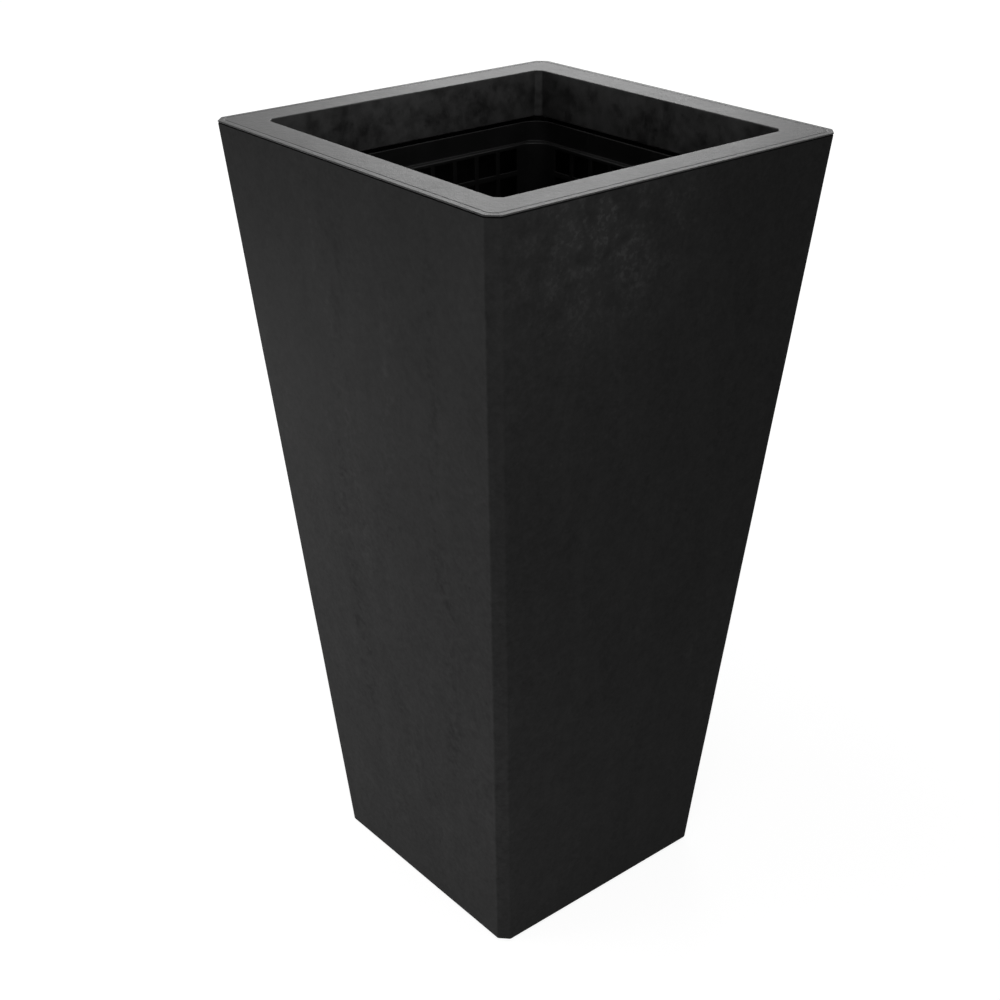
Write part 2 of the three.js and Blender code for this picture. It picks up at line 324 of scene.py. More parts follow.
class Finish:
    """One material. Most of its methods add nodes and return an output."""

    def __init__(self, name):
        self.material = bpy.data.materials.new(name)
        self.material.use_nodes = True
        self.tree = self.material.node_tree
        self.shader = self.tree.nodes["Principled BSDF"]
        self.place = self.node("ShaderNodeTexCoord").outputs["Object"]

    def node(self, kind, **settings):
        made = self.tree.nodes.new(kind)
        for key, value in settings.items():
            setattr(made, key, value)
        return made

    def feed(self, socket, value):
        """Link a node's output to a socket, or write a plain value into it."""
        if isinstance(value, bpy.types.NodeSocket):
            self.tree.links.new(value, socket)
        else:
            socket.default_value = value

    def math(self, operation, *values):
        made = self.node("ShaderNodeMath", operation=operation)
        for socket, value in zip(made.inputs, values):
            self.feed(socket, value)
        return made.outputs[0]

    def product(self, *values):
        total = values[0]
        for value in values[1:]:
            total = self.math("MULTIPLY", total, value)
        return total

    def ramp(self, value, low, high, start=0.0, end=1.0):
        """A smooth change from start, where value is low, to end, where it is high."""
        made = self.node("ShaderNodeMapRange", interpolation_type="SMOOTHSTEP")
        for socket, given in zip(made.inputs, (value, low, high, start, end)):
            self.feed(socket, given)
        return made.outputs[0]

    def stretched(self, x, y, z):
        """The place with its axes multiplied, so that a pattern grows longer along a small one."""
        made = self.node("ShaderNodeMapping")
        self.feed(made.inputs["Vector"], self.place)
        made.inputs["Scale"].default_value = (x, y, z)
        return made.outputs[0]

    def cloud(self, size, seed, detail=3.0, roughness=0.55, place=None):
        """Soft noise round 0.5, with blobs about size metres across."""
        made = self.node("ShaderNodeTexNoise", noise_dimensions="4D")
        self.feed(made.inputs["Vector"], place or self.place)
        made.inputs["W"].default_value = seed
        made.inputs["Scale"].default_value = 1 / size
        made.inputs["Detail"].default_value = detail
        made.inputs["Roughness"].default_value = roughness
        return made.outputs[0]

    def specks(self, spacing, radius, share, place=None):
        """1 in small round specks, which a share of the cells of that spacing hold, and 0 elsewhere."""
        made = self.node("ShaderNodeTexVoronoi")
        self.feed(made.inputs["Vector"], place or self.place)
        made.inputs["Scale"].default_value = 1 / spacing
        chance = self.split(made.outputs["Color"])
        held = self.math("LESS_THAN", chance[0], share)
        size = self.product(chance[1], radius / spacing)
        dot = self.ramp(self.math("DIVIDE", made.outputs["Distance"], size), 1.0, 0.5)
        return self.product(held, dot)

    def near(self, centre, reach):
        """1 at a point, falling smoothly to 0 at a distance of reach."""
        made = self.node("ShaderNodeVectorMath", operation="DISTANCE")
        self.feed(made.inputs[0], self.place)
        made.inputs[1].default_value = centre
        return self.ramp(made.outputs["Value"], reach, 0.0)

    def axes(self):
        """x, y and z of the place that is being shaded."""
        return self.split(self.place)

    def split(self, vector):
        """A vector's three parts."""
        made = self.node("ShaderNodeSeparateXYZ")
        self.feed(made.inputs[0], vector)
        return made.outputs

    def varied(self, base, *changes):
        """base, less share of it where a change's source is 0 and more by as much where it is 1."""
        total = 1.0 - sum(share for share, _ in changes)
        for share, source in changes:
            total = self.math("MULTIPLY_ADD", source, 2 * share, total)
        return self.product(total, base)

    def marked(self, total, *marks):
        """total, plus a mark's amount where its source is 1 and none of it where that is 0."""
        for amount, source in marks:
            total = self.math("MULTIPLY_ADD", source, amount, total)
        return total

    def raised(self, *layers):
        """Bump: the surface stands out by depth metres where a layer's source is 1."""
        made = self.node("ShaderNodeBump")
        made.inputs["Strength"].default_value = 1.0
        made.inputs["Distance"].default_value = 1.0
        self.feed(made.inputs["Height"], self.marked(0.0, *layers))
        self.feed(self.shader.inputs["Normal"], made.outputs[0])

    def done(self, colour, roughness, specular):
        """The material, with its shader's main inputs set."""
        self.feed(self.shader.inputs["Base Color"], colour)
        self.feed(self.shader.inputs["Roughness"], roughness)
        self.shader.inputs["Specular IOR Level"].default_value = specular
        return self.material


def arris_nearness(f, reach):
    """1 along the two arrises of each standing edge, falling to 0 at a distance of reach."""
    x, y, z = f.axes()
    shorter = f.math("MINIMUM", f.math("ABSOLUTE", x), f.math("ABSOLUTE", y))
    arris = f.math("MULTIPLY_ADD", z, LEAN, BASE_HALF - LEAN * SHELL_LOW.z - EDGE_CHAMFER)
    away = f.math("ABSOLUTE", f.math("SUBTRACT", arris, shorter))
    return f.ramp(away, reach, 0.0)


# Ragged streaks down the front wall: (x, z) at the top and at the foot of each.
DARK_STREAKS = (
    ((-0.005, 0.770), (-0.055, 0.530)),
    ((-0.054, 0.560), (-0.061, 0.390)),
    ((-0.061, 0.420), (-0.055, 0.170)),
    ((0.120, 0.780), (0.088, 0.480)),
    ((0.086, 0.510), (0.098, 0.350)),
    ((0.098, 0.380), (0.074, 0.160)),
)
PALE_STREAKS = (
    ((-0.060, 0.770), (-0.038, 0.590)),
    ((-0.036, 0.620), (-0.030, 0.330)),
    ((0.050, 0.710), (0.024, 0.470)),
)
STREAK_HALF_WIDTH = 0.018
STREAK_FADE = 0.05
# The paler wear along the arrises of the standing edges.
RUBBED_REACH = 0.006
# The dusty patch on the right wall, under the rim.
DUST_PLACE = (0.198, -0.078, 0.757)
DUST_REACH = 0.150


def streak(f, top, foot, wander):
    """1 along a streak on the front wall, fading to 0 at its sides and ends."""
    x, y, z = f.axes()
    lean = (top[0] - foot[0]) / (top[1] - foot[1])
    middle = f.math("MULTIPLY_ADD", z, lean, foot[0] - lean * foot[1])
    middle = f.math("MULTIPLY_ADD", wander, 2 * STREAK_HALF_WIDTH, middle)
    away = f.math("ABSOLUTE", f.math("SUBTRACT", x, middle))
    beside = f.ramp(away, STREAK_HALF_WIDTH, 0.0)
    above_foot = f.ramp(z, foot[1], foot[1] + STREAK_FADE)
    below_top = f.ramp(z, top[1], top[1] - STREAK_FADE)
    return f.product(beside, f.product(above_foot, below_top), f.math("LESS_THAN", y, 0.0))


def ragged_streaks(f, ends, wander):
    """1 along any of the streaks that ends lists, which swerve as wander leaves 0."""
    total = 0.0
    for top, foot in ends:
        total = f.math("MAXIMUM", total, streak(f, top, foot, wander))
    return total


def wall_streaks(f):
    """Grains that darken and grains that whiten the wall, each where streaks and drifts let them."""
    wander = f.math("SUBTRACT", f.cloud(0.05, 8.0), 0.5)
    drift = f.cloud(0.050, 12.0, detail=3.0, place=f.stretched(1, 1, 0.4))
    dark_drift = f.product(f.ramp(drift, 0.52, 0.66), 0.5)
    pale_drift = f.product(f.ramp(drift, 0.48, 0.34), 0.6)
    dark_places = f.math("MAXIMUM", dark_drift, ragged_streaks(f, DARK_STREAKS, wander))
    pale_places = f.math("MAXIMUM", pale_drift, ragged_streaks(f, PALE_STREAKS, wander))
    dark_grains = f.ramp(f.cloud(0.0085, 9.0, detail=3.0), 0.42, 0.66)
    pale_grains = f.ramp(f.cloud(0.0080, 10.0, detail=3.0), 0.46, 0.68)
    return f.product(dark_grains, dark_places), f.product(pale_grains, pale_places)


def wall_dust(f):
    """A thin, ragged film of dust."""
    ragged = f.ramp(f.cloud(0.022, 5.0, detail=3.0), 0.34, 0.62)
    flecks = f.ramp(f.cloud(0.0042, 6.0, detail=2.0), 0.46, 0.66)
    film = f.math("MULTIPLY_ADD", flecks, 0.70, 0.30)
    return f.product(f.near(DUST_PLACE, DUST_REACH), ragged, film)


def wall_paint():
    """Matte anthracite paint: clouds, mottling, ragged streaks, dust near the rim, rubbed arrises."""
    f = Finish("anthracite_wall")
    clouds = f.cloud(0.17, 1.0)
    blotches = f.cloud(0.034, 7.0, detail=2.0)
    mottle = f.cloud(0.009, 2.0, detail=4.0, roughness=0.62)
    grain = f.cloud(0.0036, 3.0, detail=2.0)
    runs = f.ramp(f.cloud(0.020, 4.0, place=f.stretched(1, 1, 0.16)), 0.50, 0.70)
    large = ((0.07, clouds), (0.12, blotches), (0.04, runs))
    colour = f.varied(WALL_COLOUR, *large, (0.28, mottle), (0.28, grain))

    dark_streaks, pale_streaks = wall_streaks(f)
    dark_specks = f.specks(0.010, 0.0020, 0.22, place=f.stretched(1.0, 1.0, 0.8))
    pale_specks = f.specks(0.012, 0.0020, 0.16)
    rubbed = f.product(arris_nearness(f, RUBBED_REACH), f.ramp(mottle, 0.35, 0.6))
    marks = [(-0.26, dark_streaks), (0.30, pale_streaks), (-0.16, dark_specks)]
    marks += [(0.06, rubbed), (0.24, pale_specks)]
    colour = f.marked(colour, *[(share * WALL_COLOUR, source) for share, source in marks])
    colour = f.marked(colour, (DUST_COLOUR, wall_dust(f)))
    f.raised((0.00008, mottle), (0.00003, grain))
    return f.done(colour, f.varied(0.62, (0.08, mottle), (0.06, clouds)), 0.012)


def lip_paint():
    """The same paint inside the mouth, where it was left glossy: cloudy, with wipe marks."""
    f = Finish("anthracite_lip")
    drift = f.ramp(f.cloud(0.060, 14.0, detail=2.0), 0.38, 0.62)
    clouds = f.ramp(f.cloud(0.018, 11.0, detail=4.0, roughness=0.6), 0.36, 0.64)
    mottle = f.ramp(f.cloud(0.007, 12.0, detail=3.0), 0.34, 0.66)
    grain = f.cloud(0.0018, 13.0, detail=2.0)
    colour = f.varied(LIP_COLOUR, (0.15, drift), (0.20, clouds), (0.16, mottle), (0.16, grain))
    f.raised((0.00005, clouds), (0.00004, mottle))
    return f.done(colour, f.varied(0.46, (0.10, drift), (0.14, clouds), (0.08, mottle)), 0.5)


def rim_paint():
    """The same paint rubbed to satin on top of the rim, with fine sanding grain and finger marks, made
    lighter than the walls partly as painted light on the top.
    """
    f = Finish("anthracite_rim")
    clouds = f.cloud(0.050, 21.0)
    mottle = f.cloud(0.007, 22.0, detail=3.0)
    grain = f.cloud(0.0022, 23.0, detail=2.0)
    colour = f.varied(RIM_TONE_AND_PAINTED_LIGHT, (0.10, clouds), (0.25, mottle), (0.45, grain))
    f.raised((0.00022, mottle), (0.00015, grain))
    return f.done(colour, f.varied(0.42, (0.10, clouds), (0.10, mottle), (0.05, grain)), 0.18)


def raw_laminate():
    """Bare laminate inside: resin over chopped strands that lie in all directions. Also used on the
    rim's face in the seam as painted shade.
    """
    f = Finish("bare_laminate_and_seam_shade")
    clouds = f.cloud(0.06, 31.0)
    strands = []
    for i in range(3):
        turned = f.node("ShaderNodeMapping")
        f.feed(turned.inputs["Vector"], f.place)
        turned.inputs["Rotation"].default_value = (0.5 + i, 0.3 + 1.1 * i, 1.05 * i)
        turned.inputs["Scale"].default_value = (1, 0.06, 0.06)
        fibres = f.cloud(0.0016, 32.0 + i, detail=2.0, place=turned.outputs[0])
        strands.append(f.ramp(fibres, 0.56, 0.68))
    mat = f.math("MAXIMUM", f.math("MAXIMUM", strands[0], strands[1]), strands[2])
    colour = f.varied(BARE_AND_SEAM_SHADE_COLOUR, (0.25, clouds), (0.30, mat))
    f.raised((0.00025, clouds), (0.00008, mat))
    return f.done(colour, f.varied(0.55, (0.2, clouds)), 0.15)


def basket_plastic():
    """Half-glossy black plastic, scuffed, with pale specks in a few places that are partly dust and
    partly painted glints.
    """
    f = Finish("black_plastic")
    clouds = f.cloud(0.040, 41.0)
    grain = f.cloud(0.0010, 42.0, detail=2.0)
    scuffs = f.ramp(f.cloud(0.004, 43.0, place=f.stretched(1, 1, 0.25)), 0.60, 0.75)
    # Pale specks: partly dust, partly painted glints on the plastic.
    specks = f.specks(0.010, 0.0012, 0.20)
    colour = f.varied(PLASTIC_COLOUR, (0.3, clouds), (0.2, scuffs))
    colour = f.marked(colour, (DUST_AND_GLINT_SPECK_COLOUR, specks))
    f.raised((0.00005, clouds), (0.000012, grain))
    return f.done(colour, f.varied(0.42, (0.25, clouds), (0.15, scuffs)), 0.15)


def soft_rubber():
    """Dull black rubber with a bloom."""
    f = Finish("black_rubber")
    bloom = f.cloud(0.012, 51.0)
    grain = f.cloud(0.0008, 52.0, detail=2.0)
    f.raised((0.00003, grain))
    colour = f.varied(RUBBER_COLOUR, (0.3, bloom), (0.15, grain))
    return f.done(colour, f.varied(0.78, (0.1, bloom)), 0.3)


WALL, LIP, RIM = wall_paint(), lip_paint(), rim_paint()
BARE_AND_SEAM_SHADE, PLASTIC, RUBBER = raw_laminate(), basket_plastic(), soft_rubber()


# ---- Shell ----

def shell_outside():
    """The hull's painted profile as (half width, height), from the dish under its floor to the seam.

    The dish's own corners cross over themselves, because shell_leg is below 0 so far inside.
    """
    edge_level = SHELL_LOW.z + BOTTOM_ROUND
    edge_centre = outer_half(edge_level) - BOTTOM_ROUND
    dish_edge = BASE_HALF - DISH_BORDER
    seam_bottom = SHELL_HIGH.z - SEAM_HALF_HEIGHT
    profile = [(dish_edge - DISH_SLOPE, FLOOR_UNDERSIDE), (dish_edge, SHELL_LOW.z)]
    profile += arc(edge_centre, edge_level, BOTTOM_ROUND, -90, 0, BOTTOM_STEPS)[:-1]
    profile += [(outer_half(z), z) for z in even(edge_level, seam_bottom, WALL_ROWS)]
    profile.append((outer_half(SHELL_HIGH.z) - SEAM_DEPTH, SHELL_HIGH.z))
    return profile


def shell_inside():
    """The rings of the hull's bare faces, from its flange's inner edge down to its floor."""
    flange_inner = LIP_OUTER + LIP_TO_FLANGE
    flange_underside = SHELL_HIGH.z - SHELL_FLANGE
    rings = []
    for z in (SHELL_HIGH.z, flange_underside):
        rings.append(chamfered_ring(flange_inner, z, lip_leg(flange_inner)))
    for z in even(flange_underside, FLOOR_TOP, WALL_ROWS // 2):
        ring = chamfered_ring(inner_half(z), z, INNER_CHAMFER)
        rings.append(drawn_in(ring, WALL_RIPPLE))
    return rings


def make_shell():
    """The hull: painted outside, bare inside, with the drain's hole in its floor."""
    painted, bare = 0, 1
    bm = bmesh.new()
    rings = [chamfered_ring(half, z, shell_leg(half, z)) for half, z in shell_outside()]
    rings = [drawn_in(ring, WALL_RIPPLE) for ring in rings]
    painted_bands = len(rings) - 1
    verts = [add_ring(bm, ring) for ring in rings + shell_inside()]
    for band, (low, high) in enumerate(zip(verts, verts[1:])):
        join_rings(bm, low, high, painted if band < painted_bands else bare)
    hole_low = add_ring(bm, round_ring(DRAIN_RADIUS, FLOOR_UNDERSIDE))
    hole_high = add_ring(bm, round_ring(DRAIN_RADIUS, FLOOR_TOP))
    join_rings(bm, hole_high, hole_low, bare)
    fill_floor(bm, [verts[0], hole_low], False, bare)
    fill_floor(bm, [verts[-1], hole_high], True, bare)
    finishes = [WALL, BARE_AND_SEAM_SHADE]
    make_piece("tapered_shell", bm, "planter", ["body_shell"], finishes, SHELL_EDGE_ROUND)


# ---- Rim and lip ----

def rim_groove():
    """The shallow groove in the flat of the rim, walked inwards."""
    profile = []
    for share in even(1, -1, RIM_GROOVE_STEPS):
        depth = RIM_GROOVE_DEPTH * (0.5 + 0.5 * math.cos(share * math.pi))
        profile.append((RIM_GROOVE_MIDDLE + share * RIM_GROOVE_WIDTH / 2, RIM_HIGH.z - depth))
    return profile


def rim_stretches():
    """The rim's profile as (half width, height): lip's foot, underside, top, brow and the lip's face."""
    top, low = RIM_HIGH.z, RIM_LOW.z
    seam_top = RIM_UNDERSIDE + SEAM_HALF_HEIGHT
    seam_half = outer_half(RIM_UNDERSIDE) - SEAM_DEPTH
    edge_centre = outer_half(RIM_EDGE_LEVEL) - RIM_ROUND
    foot_level = low + LIP_ROUND
    lip_foot = arc(LIP_INNER + LIP_ROUND, foot_level, LIP_ROUND, 180, 270, LIP_EDGE_STEPS)
    lip_foot += arc(LIP_OUTER - LIP_ROUND, foot_level, LIP_ROUND, 270, 360, LIP_EDGE_STEPS)
    underside = [(LIP_OUTER, RIM_UNDERSIDE), (seam_half, RIM_UNDERSIDE)]
    underside.append((outer_half(seam_top), seam_top))
    upper = arc(edge_centre, RIM_EDGE_LEVEL, RIM_ROUND, 0, 90, RIM_EDGE_STEPS) + rim_groove()
    upper += [(half, top) for half in even(RIM_FLAT_START, RIM_FLAT_END, FLAT_COLUMNS)[1:-1]]
    brow = arc(LIP_INNER + LIP_ROUND, top - LIP_ROUND, LIP_ROUND, 90, 180, LIP_EDGE_STEPS)
    face = [(LIP_INNER, z) for z in even(top - LIP_ROUND, foot_level, LIP_ROWS)[1:-1]]
    return lip_foot, underside, upper, brow, face


def rim_leg(half, z):
    """The corners follow the hull outside, the lip inside, and change evenly across the flat between."""
    if half > RIM_FLAT_START - CLOSE:
        return shell_leg(half, z)
    if half < RIM_FLAT_END + CLOSE or z < RIM_UNDERSIDE + CLOSE:
        return lip_leg(half)
    share = (half - RIM_FLAT_END) / (RIM_FLAT_START - RIM_FLAT_END)
    inner_leg = lip_leg(RIM_FLAT_END)
    return inner_leg + share * (shell_leg(RIM_FLAT_START, RIM_HIGH.z) - inner_leg)


def rim_ring(half, z):
    """One turn of the rim, with the ripple of the face that it lies on."""
    ring = chamfered_ring(half, z, rim_leg(half, z))
    if z > RIM_EDGE_LEVEL:
        return [p - Vector((0, 0, ripple(p, RIM_RIPPLE))) for p in ring]
    if half < LIP_OUTER:
        return drawn_in(ring, -LIP_RIPPLE)
    return ring


def make_rim():
    """The rim and its lip: satin on top, glossy on the lip, bare underneath, and dark bare laminate on
    the rim's face in the seam as painted shade.
    """
    satin, glossy, bare = 0, 1, 2
    lip_foot, underside, upper, brow, face = rim_stretches()
    # The bare bands are the lip's outer face and the underside, which are bare laminate, and the rim's
    # face in the seam, painted dark as shade for the seam's shadow line.
    first_bare_and_seam_shade = len(lip_foot) - 1
    first_satin = len(lip_foot + underside) - 1
    first_glossy = len(lip_foot + underside + upper) + BROW_SATIN_STEPS

    def finish_of(band):
        if first_bare_and_seam_shade <= band < first_satin:
            return bare
        return satin if first_satin <= band < first_glossy else glossy

    bm = bmesh.new()
    verts = [add_ring(bm, rim_ring(half, z)) for half, z in lip_foot + underside + upper + brow + face]
    for band, (first, second) in enumerate(zip(verts, verts[1:] + verts[:1])):
        join_rings(bm, first, second, finish_of(band))
    finishes = [RIM, LIP, BARE_AND_SEAM_SHADE]
    make_piece("rim_and_lip", bm, "planter", ["rim_frame"], finishes, RIM_EDGE_ROUND)


# ---- Basket ----

def basket_ring(half, z, radius):
    """One turn of the basket, with a place at each side of every column of slots."""
    stations = []
    for column in range(SLOT_COLUMNS):
        centre = (column - (SLOT_COLUMNS - 1) / 2) * SLOT_PITCH
        stations += [centre - SLOT_WIDTH / 2, centre + SLOT_WIDTH / 2]
    return square_ring(half, z, round_corner(radius), stations)


def base_hole_rings(bm, z):
    """A square grid of round holes, as rings of vertices."""
    places = [(i - (BASE_HOLES - 1) / 2) * BASE_HOLE_PITCH for i in range(BASE_HOLES)]
    centres = [(x, y) for x in places for y in places]
    return [add_ring(bm, round_ring(BASE_HOLE_RADIUS, z, x, y, HOLE_STEPS)) for x, y in centres]


def slot_levels():
    """The heights of the slots' lower and upper edges, from the lowest row up."""
    slot_top = COLLAR_BOTTOM - BASKET_WALL - SLOT_TO_COLLAR
    levels = []
    for row in reversed(range(SLOT_ROWS)):
        high = slot_top - row * SLOT_PITCH
        levels += [high - SLOT_WIDTH, high]
    return levels


def basket_half(z):
    """Half the slotted wall's outer width at a height."""
    bottom = BASKET_LOW.z
    share = (z - bottom - BASKET_BASE) / (COLLAR_BOTTOM - bottom - BASKET_BASE)
    return BASE_OUTER + BASKET_DRAFT * share


def basket_outside():
    """The outer profile as (half width, height), walked up: foot, slotted wall and collar."""
    foot_half, foot_level = BASE_OUTER - BASKET_WALL, BASKET_LOW.z + BASKET_WALL
    foot = arc(foot_half, foot_level, BASKET_WALL, -90, 0, BASKET_FOOT_STEPS)
    wall = [(basket_half(z), z) for z in slot_levels()]
    collar = [(WALL_OUTER, COLLAR_BOTTOM - BASKET_WALL)]
    collar += arc(COLLAR_OUTER - BASKET_FILLET, COLLAR_BOTTOM, BASKET_FILLET, -60, 0, COLLAR_STEPS)
    edge = BASKET_TOP_ROUND
    collar += arc(COLLAR_OUTER - edge, BASKET_HIGH.z - edge, edge, 0, 90, COLLAR_STEPS)
    return foot, wall, collar


def basket_inside():
    """The inner profile, walked down: collar, slotted wall and foot."""
    collar_inner = COLLAR_OUTER - BASKET_WALL
    wall_inner = WALL_OUTER - BASKET_WALL
    edge, fillet = BASKET_TOP_ROUND, BASKET_FILLET
    collar = arc(collar_inner + edge, BASKET_HIGH.z - edge, edge, 90, 180, COLLAR_STEPS)
    collar += [(collar_inner, COLLAR_BOTTOM)]
    collar += arc(wall_inner + fillet, COLLAR_BOTTOM - fillet, fillet, 90, 180, FILLET_STEPS)
    wall = [(basket_half(z) - BASKET_WALL, z) for z in reversed(slot_levels())]
    floor_level = BASKET_LOW.z + BASKET_BASE
    foot = arc(BASE_OUTER - BASKET_WALL - fillet, floor_level + fillet, fillet, 0, -90, FILLET_STEPS)
    return collar, wall, foot


def slot_columns():
    """The columns of a basket ring's faces that the slots cut away."""
    corner_points = CORNER_STEPS + 1
    side_points = corner_points + 2 * SLOT_COLUMNS
    starts = [corner_points + 2 * column for column in range(SLOT_COLUMNS)]
    return {side * side_points + start for side in range(4) for start in starts}


def line_slots(bm, columns, out_low, out_high, in_low, in_high):
    """The four sides of each slot in one row, from the outer wall to the inner one."""
    for left in columns:
        right = left + 1
        bm.faces.new((out_low[left], out_low[right], in_low[right], in_low[left]))
        bm.faces.new((out_high[left], in_high[left], in_high[right], out_high[right]))
        bm.faces.new((out_low[left], in_low[left], in_high[left], out_high[left]))
        bm.faces.new((out_low[right], out_high[right], in_high[right], in_low[right]))


def make_basket():
    """The basket: collar, slotted walls and a base with round holes."""
    bm = bmesh.new()
    foot, wall, collar = basket_outside()
    outer = foot + wall + collar
    inner_collar, inner_wall, inner_foot = basket_inside()
    inner = inner_collar + inner_wall + inner_foot
    verts = [add_ring(bm, basket_ring(half, z, BASKET_CORNER)) for half, z in outer]
    verts += [add_ring(bm, basket_ring(half, z, BASKET_CORNER - BASKET_WALL)) for half, z in inner]

    columns = slot_columns()
    outer_rows = [len(foot) + 2 * row for row in range(SLOT_ROWS)]
    inner_rows = [len(outer + inner_collar) + 2 * row for row in range(SLOT_ROWS)]
    for band, (low, high) in enumerate(zip(verts, verts[1:])):
        join_rings(bm, low, high, gaps=columns if band in outer_rows + inner_rows else ())
    for outside, inside in zip(outer_rows, reversed(inner_rows)):
        in_high, in_low = verts[inside], verts[inside + 1]
        line_slots(bm, columns, verts[outside], verts[outside + 1], in_low, in_high)

    holes_low = base_hole_rings(bm, BASKET_LOW.z)
    holes_high = base_hole_rings(bm, BASKET_LOW.z + BASKET_BASE)
    for low, high in zip(holes_low, holes_high):
        join_rings(bm, high, low)
    fill_floor(bm, [verts[0], *holes_low], False)
    fill_floor(bm, [verts[-1], *holes_high], True)
    finishes = [PLASTIC]
    nodes = ["planting_basket"]
    make_piece("slotted_basket", bm, "basket", nodes, finishes, BASKET_EDGE_ROUND)


# ---- Ledges ----

def ledge_section():
    """The angle's outline in (distance from the axis, height), walked anticlockwise as seen from -Y."""
    low, top = LEDGE_LOW.z, LEDGE_HIGH.z
    shelf = top - LEDGE_THICKNESS
    section = [(inner_half(low) - BOND_GAP, low), (inner_half(top) - BOND_GAP, top)]
    section += [(LEDGE_LOW.x, top), (LEDGE_LOW.x, shelf)]
    knee = inner_half(shelf) - BOND_GAP - LEDGE_THICKNESS
    section += arc(knee - LEDGE_BEND, shelf - LEDGE_BEND, LEDGE_BEND, 90, 0, FILLET_STEPS)
    section.append((inner_half(low) - BOND_GAP - LEDGE_THICKNESS, low))
    return section


def make_ledge(side, quarter):
    """An angle of bare laminate along one wall, a number of quarter turns from the right one."""
    bm = bmesh.new()
    turn = Matrix.Rotation(quarter * math.pi / 2, 3, "Z")
    sections = []
    for y in even(LEDGE_LOW.y, LEDGE_HIGH.y, LEDGE_STATIONS):
        ring = [turn @ Vector((x, y, z)) for x, z in ledge_section()]
        sections.append(add_ring(bm, ring))
    for first, second in zip(sections, sections[1:]):
        join_rings(bm, second, first)
    bm.faces.new(sections[0])
    bm.faces.new(reversed(sections[-1]))
    bmesh.ops.recalc_face_normals(bm, faces=bm.faces)
    nodes = [f"support_ledge_{side}"]
    make_piece(f"ledge_{side}", bm, "planter", nodes, [BARE_AND_SEAM_SHADE], LEDGE_EDGE_ROUND)


# ---- Round rubber pieces ----

def make_round(name, body, node, profile, x=0.0, y=0.0):
    """A solid lathe from a profile of (radius, z), walked up the outside, with flat ends."""
    bm = bmesh.new()
    verts = [add_ring(bm, round_ring(radius, z, x, y)) for radius, z in profile]
    for low, high in zip(verts, verts[1:]):
        join_rings(bm, low, high)
    bm.faces.new(reversed(verts[0]))
    bm.faces.new(verts[-1])
    make_piece(name, bm, body, [node], [RUBBER], RUBBER_EDGE_ROUND)


def make_plug():
    """The drain's stopper: a grooved stem, a flat head and a knob to pull it by."""
    stem = DRAIN_RADIUS - PLUG_CLEARANCE
    tip = PLUG_LOW.z
    head_radius = PLUG_HIGH.x
    head_bottom = FLOOR_TOP + PLUG_CLEARANCE
    head_top = head_bottom + PLUG_HEAD_THICKNESS
    groove_low, groove_high = FLOOR_UNDERSIDE + SHELL_FLOOR / 3, FLOOR_TOP - SHELL_FLOOR / 3
    edge, waist = PLUG_ROUND, PLUG_WAIST_ROUND
    profile = [(stem - PLUG_TIP_TAPER, tip), (stem, tip + PLUG_TIP_TAPER), (stem, groove_low)]
    profile += [(stem - PLUG_GROOVE, groove_low + edge), (stem - PLUG_GROOVE, groove_high - edge)]
    profile += [(stem, groove_high), (stem, head_bottom), (head_radius - edge, head_bottom)]
    profile += arc(head_radius - edge, head_top - edge, edge, 0, 90, FILLET_STEPS)
    profile += arc(PLUG_KNOB_RADIUS + waist, head_top + waist, waist, 270, 180, FILLET_STEPS)
    profile += arc(PLUG_KNOB_RADIUS - edge, PLUG_HIGH.z - edge, edge, 0, 90, FILLET_STEPS)
    make_round("drain_stopper", "plug", "drain_plug", profile)


def make_pad(corner):
    """One round foot under the floor."""
    low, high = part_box(f"base_pad_{corner}")
    centre = (low + high) / 2
    radius = high.x - centre.x
    profile = arc(radius - PAD_ROUND, low.z + PAD_ROUND, PAD_ROUND, -90, 0, FILLET_STEPS)
    profile.append((radius, high.z))
    make_round(f"foot_pad_{corner}", "planter", f"base_pad_{corner}", profile, centre.x, centre.y)


make_shell()
make_rim()
make_basket()
for quarter, side in enumerate(("right", "back", "left", "front")):
    make_ledge(side, quarter)
make_plug()
for corner in ("front_left", "front_right", "back_left", "back_right"):
    make_pad(corner)


# ---- Stage: floor, air, lamps and camera ----
FLOOR_LEVEL = 0.0
FLOOR_RADIUS = 6.0
FLOOR_MIDDLE_RADIUS = 1.5
# What the floor scatters onto the object, and what it shows of the light that falls on it.
FLOOR_REFLECTANCE = 0.8
FLOOR_SHOWN_REFLECTANCE = 0.25
# The light that it shows of its own near the object, which rises to white between two distances.
FLOOR_OWN_LIGHT = 0.90
FLOOR_DIM_REACH = 0.35
FLOOR_WHITE_FROM = 1.3
ROOM_LIGHT = 0.14


def seen_directly(tree):
    """1 for rays from the camera, from gloss and through glass, and 0 for scattered light."""
    path = tree.nodes.new("ShaderNodeLightPath")
    total = path.outputs["Is Camera Ray"]
    for name in ("Is Glossy Ray", "Is Transmission Ray"):
        larger = tree.nodes.new("ShaderNodeMath")
        larger.operation = "MAXIMUM"
        tree.links.new(total, larger.inputs[0])
        tree.links.new(path.outputs[name], larger.inputs[1])
        total = larger.outputs[0]
    return total


def diffuse(tree, reflectance):
    """A plain grey surface that scatters light."""
    made = tree.nodes.new("ShaderNodeBsdfDiffuse")
    made.inputs["Color"].default_value = (reflectance, reflectance, reflectance, 1)
    return made.outputs[0]


